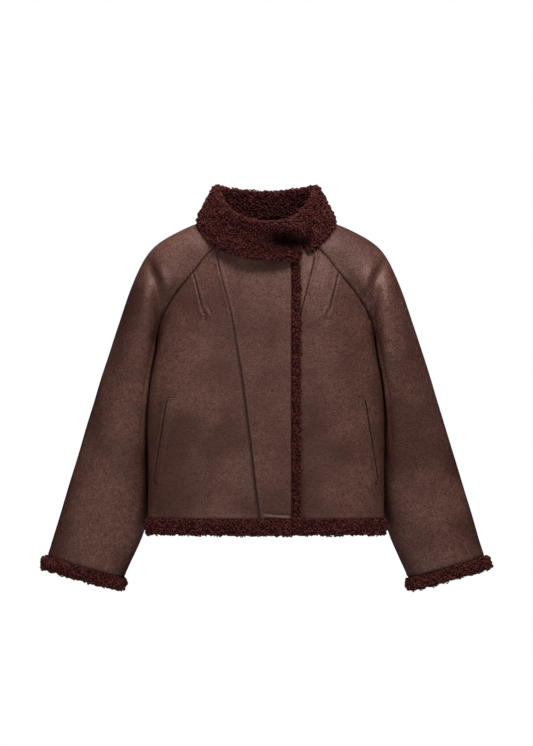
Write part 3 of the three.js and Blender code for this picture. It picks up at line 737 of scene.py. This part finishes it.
FRONT_FOLDS = (
    Fold((138, -78), (120, -150), DART, fade=8),
    Fold((120, -150), (112, -176), trough(4, 1.2), fade=14),
    Fold((127, -146), (117, -166), ridge(3.5, 1.3), fade=8),
    Fold((114, -144), (106, -163), ridge(3.5, 1.1), fade=8),
    Fold((110, -142), (103, -157), trough(3, 0.8), fade=7),
    Fold((186, -319), (211.5, -474), POCKET_SLIT, fade=3),
    Fold((171, -313), (187, -315), PUCKER, fade=5),
    Fold((205, -478), (213, -477), trough(1.4, 1.2), fade=4),
)
RIGHT_CENTRE_FOLDS = (
    Fold((-4, -537), (42, -541), (Stroke(0, 2.4, 2.0), Stroke(-5, 3, -1.0)), fade=9, both_sides=False),
)
COLLAR_FOLDS = (
    Fold((-84, 4), (76, -22), trough(14, 6), fade=30, both_sides=False),
    Fold((-2, -20), (74, -23), trough(10, 13), fade=34, both_sides=False),
    Fold((-44, -50), (64, -47), ridge(6.5, 5.5), fade=26, both_sides=False),
    Fold((-70, 37), (76, 1), ridge(9, 8), fade=24, both_sides=False, bow=-4),
    Fold((80, 8), (77, -30), trough(4, 3), fade=10, both_sides=False),
)
SLEEVE_FOLDS = (
    Fold((200, -66), (178, -128), ridge(8, 4.2), fade=26),
    Fold((226, -50), (206, -104), trough(9, 5.5), fade=30),
    Fold((209, -92), (196, -180), trough(8.5, 5.5), fade=30),
)
BACK_FOLDS = (Fold((150, -130), (128, -190), trough(9, 1.5), fade=30, face=Face.BACK),)


@dataclass
class Seam:
    """How the leather rises beside its seams: a soft ridge, puckered along its length."""

    ridge_at: float = 3.2 * MM
    ridge_width: float = 3.0 * MM
    ridge_height: float = 1.0 * MM
    pucker: float = 0.5 * MM
    pucker_length: float = 9 * MM
    pucker_reach: float = 3.5  # in widths of the ridge
    line: float = 0.9 * MM

    def height(self, place: Vector, distance: float) -> float:
        """How far the leather is lifted beside its seam.

        Args:
            place: The place.
            distance: Its distance from the seam.

        Returns:
            The lift in metres.
        """
        wave = noise.noise(place / self.pucker_length)
        lift = self.ridge_height * swell(distance - self.ridge_at, self.ridge_width)
        return lift + self.pucker * wave * swell(distance, self.pucker_reach * self.ridge_width)

    def depth(self, distance: float) -> float:
        """How deep a place at a distance from the seam lies in it, from 0 to 1."""
        return swell(distance, self.line)


# ---- Leather ----


@dataclass
class LeatherPanel:
    """A panel of the jacket: leather outside, pile inside.

    Its slow waves and its pull towards the pieces it hangs against grow to their full size over a
    distance from the seams, so the seams stay where they are.
    """

    node: str
    flat: tuple[float, float]
    area: float
    levels: int = 3
    folds: tuple[Fold, ...] = ()
    fine_folds: tuple[Fold, ...] = ()
    seam: Seam = field(default_factory=Seam)
    rim_crease: float = 0.5
    allowance: float = 0.8 * MM
    sharp: float = 1.8 * MM  # depth of a sharp fold whose painted shade is as dark as a seam line
    faint: float = 0.25  # share of that depth at which its painted shade starts
    fine_from: float = 0.04 * MM  # height of a sharp fold at which the mesh is made finer
    wave: float = 0.9 * MM
    wave_size: float = 70 * MM
    wave_grows: float = 40 * MM
    against: tuple[str, ...] = ()
    near: float = 10 * MM
    clear: float = 1.4 * MM
    pull_grows: float = 30 * MM

    def build(self, finishes: Finishes) -> bpy.types.Object:
        """Builds the panel over its solid.

        Args:
            finishes: The jacket's materials.

        Returns:
            The panel.
        """
        bm = cad_quads(self.node)
        label_wall(bm, self.rim_crease)
        bm = subdivided(bm, self.levels)
        for fold in self.fine_folds:
            self.refine(bm, fold)
        self.shape(bm)
        materials = (finishes.leather, finishes.lining, finishes.leather)
        obj = piece(f"{self.node}_cloth", bm, materials)
        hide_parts(self.node)
        return obj

    def refine(self, bm: bmesh.types.BMesh, fold: Fold) -> None:
        """Makes the mesh finer twice along a sharp fold.

        Args:
            bm: The mesh.
            fold: The fold.
        """
        for _ in range(2):
            bm.normal_update()
            close = {v for v in bm.verts if abs(fold.height(v.co, v.normal)) > self.fine_from}
            edges = [e for e in bm.edges if close.issuperset(e.verts)]
            bmesh.ops.subdivide_edges(bm, edges=edges, cuts=1, use_grid_fill=True)

    def shape(self, bm: bmesh.types.BMesh) -> None:
        """Bends the wall along its soft folds, and works the rest into its outside.

        The rest is its seams, its sharp folds, a slow wave and its pull towards what it hangs against. It
        also paints the seams' dark lines, and painted shade into the sharp folds.

        Args:
            bm: The wall.
        """
        bm.normal_update()
        depth = bm.verts.layers.float.new(SEAM_LINE_AND_SHADE)
        outside = {v for f in bm.faces if f.material_index == Layer.OUTSIDE for v in f.verts}
        rim = {v for f in bm.faces if f.material_index == Layer.RIM for v in f.verts}
        edge = KDTree(len(rim & outside))
        for index, vert in enumerate(rim & outside):
            edge.insert(vert.co, index)
        edge.balance()
        beside = [solid_tree(node) for node in self.against]
        lifts = [(vert, vert.normal * self.allowance) for vert in rim - outside]
        for vert in set(bm.verts) - outside - rim:
            outwards = -vert.normal
            lifts.append((vert, outwards * sum(fold.height(vert.co, outwards) for fold in self.folds)))
        for vert in rim:
            vert[depth] = 1.0
        for vert in outside - rim:
            distance = edge.find(vert.co)[2]
            sharp = sum(fold.height(vert.co, vert.normal) for fold in self.fine_folds)
            lifts.append((vert, vert.normal * self.lift(vert, distance, sharp, beside)))
            # paints a seam's dark line, and painted shade into the sharp folds
            vert[depth] = max(self.seam.depth(distance), ease(-sharp, self.faint * self.sharp, self.sharp))
        for vert, lift in lifts:
            vert.co += lift
        bm.normal_update()

    def lift(
        self, vert: bmesh.types.BMVert, distance: float, sharp: float, beside: list[BVHTree]
    ) -> float:
        """How far the leather is lifted at a corner of the mesh.

        Args:
            vert: The corner.
            distance: Its distance from the nearest seam.
            sharp: What the sharp folds lift it by.
            beside: The pieces that the panel hangs against.

        Returns:
            The lift in metres.
        """
        lift = sharp + self.seam.height(vert.co, distance)
        lift += self.wave * noise.noise(vert.co / self.wave_size) * ease(distance, 0, self.wave_grows)
        lift += sum(fold.height(vert.co, vert.normal) for fold in self.folds)
        pull = max((self.approach(vert.co, tree) for tree in beside), default=0.0)
        return lift + pull * ease(distance, 0, self.pull_grows)

    def approach(self, place: Vector, beside: BVHTree) -> float:
        """How far a place moves towards a piece that it hangs against.

        Args:
            place: The place.
            beside: The piece.

        Returns:
            The distance in metres.
        """
        distance = beside.find_nearest(place, self.near)[3]
        if distance is None:
            return 0.0
        return max(0.0, distance - self.clear) * (1 - ease(distance, self.near / 2, self.near))


@dataclass
class PocketWelt:
    """The leather lip of a slanting pocket."""

    node: str
    levels: int = 3

    def build(self, finishes: Finishes) -> bpy.types.Object:
        """Builds the lip over its solid.

        Args:
            finishes: The jacket's materials.

        Returns:
            The lip.
        """
        bm = subdivided(cad_quads(self.node), self.levels)
        obj = piece(f"{self.node}_lip", bm, (finishes.leather,))
        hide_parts(self.node)
        return obj


# ---- Teddy pile ----


@dataclass
class Curls:
    """Small curls and nubs of pile, which grow close together from a ground."""

    spacing: float = 3.5 * MM
    crowding: float = 2.0  # points tried in each square of the spacing
    curl_radius: float = 2.0 * MM
    curl_turn: float = math.radians(265)
    curl_steps: int = 4
    curl_climb: float = 0.28 * MM
    curl_tilt: float = math.radians(38)
    strand: float = 1.3 * MM
    strand_sides: int = 3
    nub: float = 2.5 * MM
    nub_shape: tuple[float, float, float] = (1.35, 0.85, 0.9)
    nub_lump: float = 0.5
    nub_lump_size: float = 1.6 * MM
    nub_rise: float = 0.1
    nub_leans: tuple[float, ...] = (0.0, 0.3)
    nub_change: float = 9.0  # how much one nub's lumps differ from the next one's
    least: float = 0.7
    most: float = 1.25
    tip: float = 0.5  # the most that a shape is tipped over, in radians
    seed: int = 4

    def curl(self) -> bmesh.types.BMesh:
        """One curl: a strand bent round most of a turn.

        Returns:
            Its mesh.
        """
        bm = bmesh.new()
        ring = bmesh.ops.create_circle(bm, segments=self.strand_sides, radius=self.strand)["verts"]
        bmesh.ops.rotate(bm, verts=ring, cent=(0, 0, 0), matrix=Matrix.Rotation(math.pi / 2, 3, "X"))
        bmesh.ops.translate(bm, verts=ring, vec=(self.curl_radius, 0, 0))
        bmesh.ops.spin(
            bm,
            geom=bm.verts[:] + bm.edges[:],
            cent=(0, 0, 0),
            axis=(0, 0, 1),
            dvec=(0, 0, self.curl_climb),
            angle=self.curl_turn,
            steps=self.curl_steps,
        )
        ends = [e for e in bm.edges if e.is_boundary]
        bmesh.ops.holes_fill(bm, edges=ends, sides=self.strand_sides)
        bmesh.ops.recalc_face_normals(bm, faces=bm.faces)
        bmesh.ops.rotate(bm, verts=bm.verts, cent=(0, 0, 0), matrix=Matrix.Rotation(self.curl_tilt, 3, "X"))
        bmesh.ops.translate(bm, verts=bm.verts, vec=(0, 0, self.strand))
        return bm

    def tuft(self, lean: float) -> bmesh.types.BMesh:
        """One nub: a small uneven ball.

        Args:
            lean: How far it leans to a side, in its own sizes.

        Returns:
            Its mesh.
        """
        bm = bmesh.new()
        bmesh.ops.create_icosphere(bm, subdivisions=1, radius=self.nub)
        change = Vector((lean * self.nub_change, 0, 0))
        for vert in bm.verts:
            vert.co *= 1 + self.nub_lump * noise.noise(vert.co / self.nub_lump_size + change)
        bmesh.ops.scale(bm, verts=bm.verts, vec=self.nub_shape)
        bmesh.ops.translate(bm, verts=bm.verts, vec=(lean * self.nub, 0, self.nub_rise * self.nub))
        return bm

    def kinds(self) -> bpy.types.Collection:
        """The shapes that the pile is made of.

        Returns:
            A collection of them.
        """
        shapes = [self.curl(), *(self.tuft(lean) for lean in self.nub_leans)]
        collection = bpy.data.collections.new("curl_kinds")
        bpy.context.scene.collection.children.link(collection)
        for index, bm in enumerate(shapes):
            for face in bm.faces:
                face.smooth = True
            mesh = bpy.data.meshes.new(f"curl_kind_{index}")
            bm.to_mesh(mesh)
            bm.free()
            collection.objects.link(bpy.data.objects.new(mesh.name, mesh))
        return collection

    def scatter(self, tree: bpy.types.NodeTree) -> bpy.types.Node:
        """Adds the node that spreads points evenly over a surface.

        Args:
            tree: The node group.

        Returns:
            The node.
        """
        node = tree.nodes.new("GeometryNodeDistributePointsOnFaces")
        node.distribute_method = "POISSON"
        node.inputs["Distance Min"].default_value = self.spacing
        node.inputs["Density Max"].default_value = self.crowding / self.spacing**2
        node.inputs["Seed"].default_value = self.seed
        return node

    def turned(self, tree: bpy.types.NodeTree, upright: Socket) -> Socket:
        """Adds the nodes that turn and tip each shape at random.

        Args:
            tree: The node group.
            upright: The rotation that stands a shape on its surface.

        Returns:
            The rotation of each shape.
        """
        angles = tree.nodes.new("FunctionNodeRandomValue")
        angles.data_type = "FLOAT_VECTOR"
        angles.inputs[0].default_value = (-self.tip, -self.tip, -math.pi)
        angles.inputs[1].default_value = (self.tip, self.tip, math.pi)
        turn = tree.nodes.new("FunctionNodeEulerToRotation")
        spun = tree.nodes.new("FunctionNodeRotateRotation")
        spun.rotation_space = "LOCAL"
        tree.links.new(angles.outputs[0], turn.inputs[0])
        tree.links.new(upright, spun.inputs["Rotation"])
        tree.links.new(turn.outputs[0], spun.inputs["Rotate By"])
        return spun.outputs[0]

    def tree(self, kinds: bpy.types.Collection) -> bpy.types.NodeTree:
        """The node group that scatters the shapes over a surface.

        Args:
            kinds: The shapes.

        Returns:
            The node group.
        """
        tree = bpy.data.node_groups.new("pile", "GeometryNodeTree")
        tree.interface.new_socket("Geometry", in_out="INPUT", socket_type="NodeSocketGeometry")
        tree.interface.new_socket("Geometry", in_out="OUTPUT", socket_type="NodeSocketGeometry")
        add, link = tree.nodes.new, tree.links.new
        start, end = add("NodeGroupInput"), add("NodeGroupOutput")
        scatter = self.scatter(tree)
        shapes = add("GeometryNodeCollectionInfo")
        shapes.inputs["Collection"].default_value = kinds
        shapes.inputs["Separate Children"].default_value = True
        scale = add("FunctionNodeRandomValue")
        scale.inputs[2].default_value = self.least
        scale.inputs[3].default_value = self.most
        grow = add("GeometryNodeInstanceOnPoints")
        grow.inputs["Pick Instance"].default_value = True
        real = add("GeometryNodeRealizeInstances")
        link(start.outputs["Geometry"], scatter.inputs["Mesh"])
        link(scatter.outputs["Points"], grow.inputs["Points"])
        link(shapes.outputs["Instances"], grow.inputs["Instance"])
        link(self.turned(tree, scatter.outputs["Rotation"]), grow.inputs["Rotation"])
        link(scale.outputs[1], grow.inputs["Scale"])
        link(grow.outputs["Instances"], real.inputs["Geometry"])
        link(real.outputs["Geometry"], end.inputs["Geometry"])
        return tree

    def grow(self, ground: bmesh.types.BMesh) -> bmesh.types.BMesh:
        """Grows the pile on a surface; the surface's mesh is freed.

        Args:
            ground: The surface.

        Returns:
            The pile alone.
        """
        kinds = self.kinds()
        tree = self.tree(kinds)

        def fit(holder: bpy.types.Object) -> None:
            """Adds the node group."""
            holder.modifiers.new("pile", "NODES").node_group = tree

        pile = evaluated(ground, fit)
        for shape in list(kinds.objects):
            bpy.data.meshes.remove(shape.data)
        bpy.data.collections.remove(kinds)
        bpy.data.node_groups.remove(tree)
        return pile


def directions() -> list[Vector]:
    """Directions spread evenly all round.

    Returns:
        The directions, each of length 1.
    """
    bm = bmesh.new()
    bmesh.ops.create_icosphere(bm, subdivisions=2, radius=1.0)
    ways = [vert.co.copy() for vert in bm.verts]
    bm.free()
    return ways


SKY = directions()


@dataclass
class TeddyPiece:
    """A piece faced with teddy pile: a ground just inside its solid, painted dark as the shade deep in the
    pile, and curls that stand on it.

    A piece that hangs is sewn on along its top, which stays where it is, and its underside is bare.
    """

    node: str
    flat: tuple[float, float]
    held: str
    levels: int = 2
    shrink: float = 1.8 * MM
    lump: float = 1.8 * MM
    lump_size: float = 10 * MM
    sight: float = 6 * MM  # a face that sees its own piece nearer than this is hidden
    hangs: bool = False
    loose: float = 0.2  # how far a face of the pile may look up before it gets smoother
    sewn: float = 0.6  # how far a face of the sewn edge looks up
    under: float = 0.8  # how far a face of the underside looks down
    folds: tuple[Fold, ...] = ()
    fold_from: float = 62 * MM  # the folds grow between these two places in front of the neck
    fold_full: float = 84 * MM
    hollow: float = 70 * MM  # what is nearer than this shuts a direction
    lift_off: float = 2 * MM  # how far above the ground the directions start
    horizon: float = 0.2  # directions lower than this over the ground don't count
    shut: tuple[float, float] = (0.0, 0.42)  # shares of shut directions from light to dark
    curls: Curls = field(default_factory=Curls)
    parts: dict[str, Callable[[Vector], bool]] = field(default_factory=lambda: {"all": lambda place: True})

    def build(self, finishes: Finishes) -> bpy.types.Object:
        """Builds the ground and the curls over the solid.

        Args:
            finishes: The jacket's materials.

        Returns:
            The ground, which the curls go with.
        """
        bm = self.lumpy()
        self.darken(bm)
        piles = [self.pile(bm, name, holds, finishes) for name, holds in self.parts.items()]
        ground = piece(f"{self.node}_ground", bm, (finishes.ground,))
        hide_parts(self.node)
        return ground

    def lumpy(self) -> bmesh.types.BMesh:
        """The ground: the solid's surface, shrunk, lumpy and folded.

        Returns:
            Its mesh.
        """
        bm = cad_quads(self.node)
        for vert in bm.verts:
            if not (self.hangs and vert.normal.z > self.sewn):
                vert.co -= vert.normal * self.shrink
        bm = subdivided(bm, self.levels)
        bm.verts.layers.float.new(SEAM_LINE_AND_SHADE)
        bm.normal_update()
        for vert in bm.verts:
            loose = 1 - ease(vert.normal.z, self.loose, self.sewn) if self.hangs else 1.0
            vert.co += vert.normal * self.lump * loose * noise.noise(vert.co / self.lump_size)
            share = ease(-vert.co.y, self.fold_from, self.fold_full)
            vert.co += FORWARD * share * sum(fold.height(vert.co, FORWARD) for fold in self.folds)
        bm.normal_update()
        return bm

    def darken(self, bm: bmesh.types.BMesh) -> None:
        """Paints how closed in each place is: dark in hollows, where hardly any light falls.

        Args:
            bm: The ground's mesh.
        """
        depth = bm.verts.layers.float[SEAM_LINE_AND_SHADE]
        tree = BVHTree.FromBMesh(bm)
        for vert in bm.verts:
            start = vert.co + vert.normal * self.lift_off
            ways = [way for way in SKY if way.dot(vert.normal) > self.horizon]
            shut = sum(tree.ray_cast(start, way, self.hollow)[0] is not None for way in ways)
            vert[depth] = ease(shut / len(ways), *self.shut)

    def pile(
        self, bm: bmesh.types.BMesh, name: str, holds: Callable[[Vector], bool], finishes: Finishes
    ) -> bpy.types.Object:
        """Grows the curls on the part of the ground that shows.

        Args:
            bm: The ground's mesh.
            name: Name of the part.
            holds: Whether a place belongs to the part.
            finishes: The jacket's materials.

        Returns:
            The curls.
        """
        tree = BVHTree.FromBMesh(bm)
        open_faces = bm.copy()
        hidden = [f for f in open_faces.faces if not holds(f.calc_center_median()) or self.bare(f, tree)]
        bmesh.ops.delete(open_faces, geom=hidden, context="FACES")
        pile = self.curls.grow(open_faces)
        return piece(f"{self.node}_curls_{name}", pile, (finishes.curls,))

    def bare(self, face: bmesh.types.BMFace, tree: BVHTree) -> bool:
        """Whether no curls grow on a face: it is the underside of a hem, or hidden by the piece itself.

        Args:
            face: The face.
            tree: The ground's surface.

        Returns:
            Whether it is bare.
        """
        if self.hangs and face.normal.z < -self.under:
            return True
        start = face.calc_center_median() + face.normal * MM
        return tree.ray_cast(start, face.normal, self.sight)[0] is not None


# ---- The jacket ----


@dataclass
class Jacket:
    """The whole jacket."""

    sleeve_flat: tuple[float, float] = (0.50, 0.70)
    sleeve_area: float = 0.275
    cuff_flat: tuple[float, float] = (0.47, 0.03)

    def panels(self) -> list[LeatherPanel]:
        """The leather panels.

        Returns:
            One for each panel.
        """
        return [
            LeatherPanel("front_right_centre", (0.14, 0.525), 0.047, fine_folds=RIGHT_CENTRE_FOLDS),
            LeatherPanel("front_right_side", (0.27, 0.53), 0.105, fine_folds=FRONT_FOLDS),
            LeatherPanel("front_left_centre", (0.12, 0.525), 0.035),
            LeatherPanel("front_left_side", (0.27, 0.53), 0.105, fine_folds=FRONT_FOLDS),
            LeatherPanel("back", (0.47, 0.572), 0.237, levels=2, folds=BACK_FOLDS),
            self.sleeve("right"),
            self.sleeve("left"),
        ]

    def sleeve(self, side: str) -> LeatherPanel:
        """A sleeve, which hangs against its side of the body.

        Args:
            side: right or left.

        Returns:
            The sleeve.
        """
        body = (f"front_{side}_side", "back")
        return LeatherPanel(
            f"sleeve_{side}", self.sleeve_flat, self.sleeve_area, folds=SLEEVE_FOLDS, against=body
        )

    def trims(self) -> list[TeddyPiece]:
        """The pieces faced with pile.

        Returns:
            One for each piece.
        """
        return [
            TeddyPiece(
                "collar",
                (0.70, 0.135),
                "folded",
                folds=COLLAR_FOLDS,
                parts={"right": lambda place: place.x < 0, "left": lambda place: place.x >= 0},
            ),
            TeddyPiece("hem_band", (1.16, 0.033), "folded", hangs=True, lump=3.4 * MM),
            TeddyPiece("front_edge_band", (0.02, 0.52), "folded"),
            TeddyPiece("cuff_band_right", self.cuff_flat, "folded", hangs=True, lump=3.6 * MM),
            TeddyPiece("cuff_band_left", self.cuff_flat, "folded", hangs=True, lump=3.6 * MM),
        ]

    def build(self, finishes: Finishes) -> None:
        """Builds every piece.

        Args:
            finishes: The jacket's materials.
        """
        welts = [PocketWelt("pocket_welt_right"), PocketWelt("pocket_welt_left")]
        for part in (*self.panels(), *welts, *self.trims()):
            part.build(finishes)


# ---- Studio ----


@dataclass
class Studio:
    """A plain pale floor, soft light and a level camera in front of the jacket."""

    target: Vector = field(default_factory=lambda: Vector((0.001, 0.0, -0.268)))
    distance: float = 10.05
    lens: float = 255.0
    sensor: float = 36.0
    floor_size: float = 6.0
    floor_z: float = -1.25
    backdrop: float = 1.0
    glow: float = 0.18

    def build(self) -> None:
        """Sets up the floor, the light and the camera."""
        self.floor()
        self.world()
        self.light("key", Vector((0.6, -2.2, 2.6)), size=1.3, power=192)
        self.light("fill", Vector((-1.4, -3.4, 0.3)), size=1.6, power=32)
        self.light("top", Vector((0.0, 0.0, 2.4)), size=1.2, power=85)
        self.light("back", Vector((-0.5, 2.6, 2.2)), size=1.6, power=120, mirrored=False)
        self.camera()

    def floor(self) -> None:
        """Lays the floor well below the jacket, where it isn't mirrored in it."""
        bm = bmesh.new()
        bmesh.ops.create_grid(bm, x_segments=8, y_segments=8, size=self.floor_size / 2)
        bmesh.ops.translate(bm, verts=bm.verts, vec=(0, 0, self.floor_z))
        mesh = bpy.data.meshes.new("floor")
        bm.to_mesh(mesh)
        bm.free()
        mesh.materials.append(FloorFinish().material())
        floor = bpy.data.objects.new("floor", mesh)
        bpy.context.scene.collection.objects.link(floor)
        floor.visible_glossy = False

    def world(self) -> None:
        """Surrounds the scene with a white backdrop that lights the jacket dimly and isn't mirrored in it."""
        world = bpy.data.worlds.new("studio")
        world.use_nodes = True
        nodes, links = world.node_tree.nodes, world.node_tree.links
        strength = nodes.new("ShaderNodeMapRange")
        strength.inputs["To Min"].default_value = self.glow
        strength.inputs["To Max"].default_value = self.backdrop
        links.new(nodes.new("ShaderNodeLightPath").outputs["Is Camera Ray"], strength.inputs["Value"])
        links.new(strength.outputs["Result"], nodes["Background"].inputs["Strength"])
        nodes["Background"].inputs["Color"].default_value = (1.0, 1.0, 1.0, 1.0)
        world.cycles_visibility.glossy = False
        bpy.context.scene.world = world
        bpy.context.scene.view_settings.view_transform = "Standard"

    def light(self, name: str, place: Vector, size: float, power: float, mirrored: bool = True) -> None:
        """Adds a soft square light that faces the jacket.

        Args:
            name: The light's name.
            place: Where it stands.
            size: Length of its side.
            power: Its power in watts.
            mirrored: Whether glossy surfaces mirror it.
        """
        lamp = bpy.data.lights.new(name, "AREA")
        lamp.size = size
        lamp.energy = power
        obj = bpy.data.objects.new(name, lamp)
        obj.visible_glossy = mirrored
        obj.location = place
        obj.rotation_euler = (self.target - place).to_track_quat("-Z", "Y").to_euler()
        bpy.context.scene.collection.objects.link(obj)

    def camera(self) -> None:
        """Adds the camera, level and straight in front."""
        lens = bpy.data.cameras.new("camera")
        lens.lens = self.lens
        lens.sensor_width = self.sensor
        camera = bpy.data.objects.new("camera", lens)
        camera.location = self.target - Vector((0, self.distance, 0))
        camera.rotation_euler = (math.radians(90), 0, 0)
        bpy.context.scene.collection.objects.link(camera)
        bpy.context.scene.camera = camera


def main() -> None:
    """Dresses the jacket and sets up the studio around it."""
    logging.basicConfig(level=logging.INFO, format="%(name)s: %(message)s")
    Studio().build()
    Jacket().build(Finishes.made())


if __name__ == "__main__":
    main()
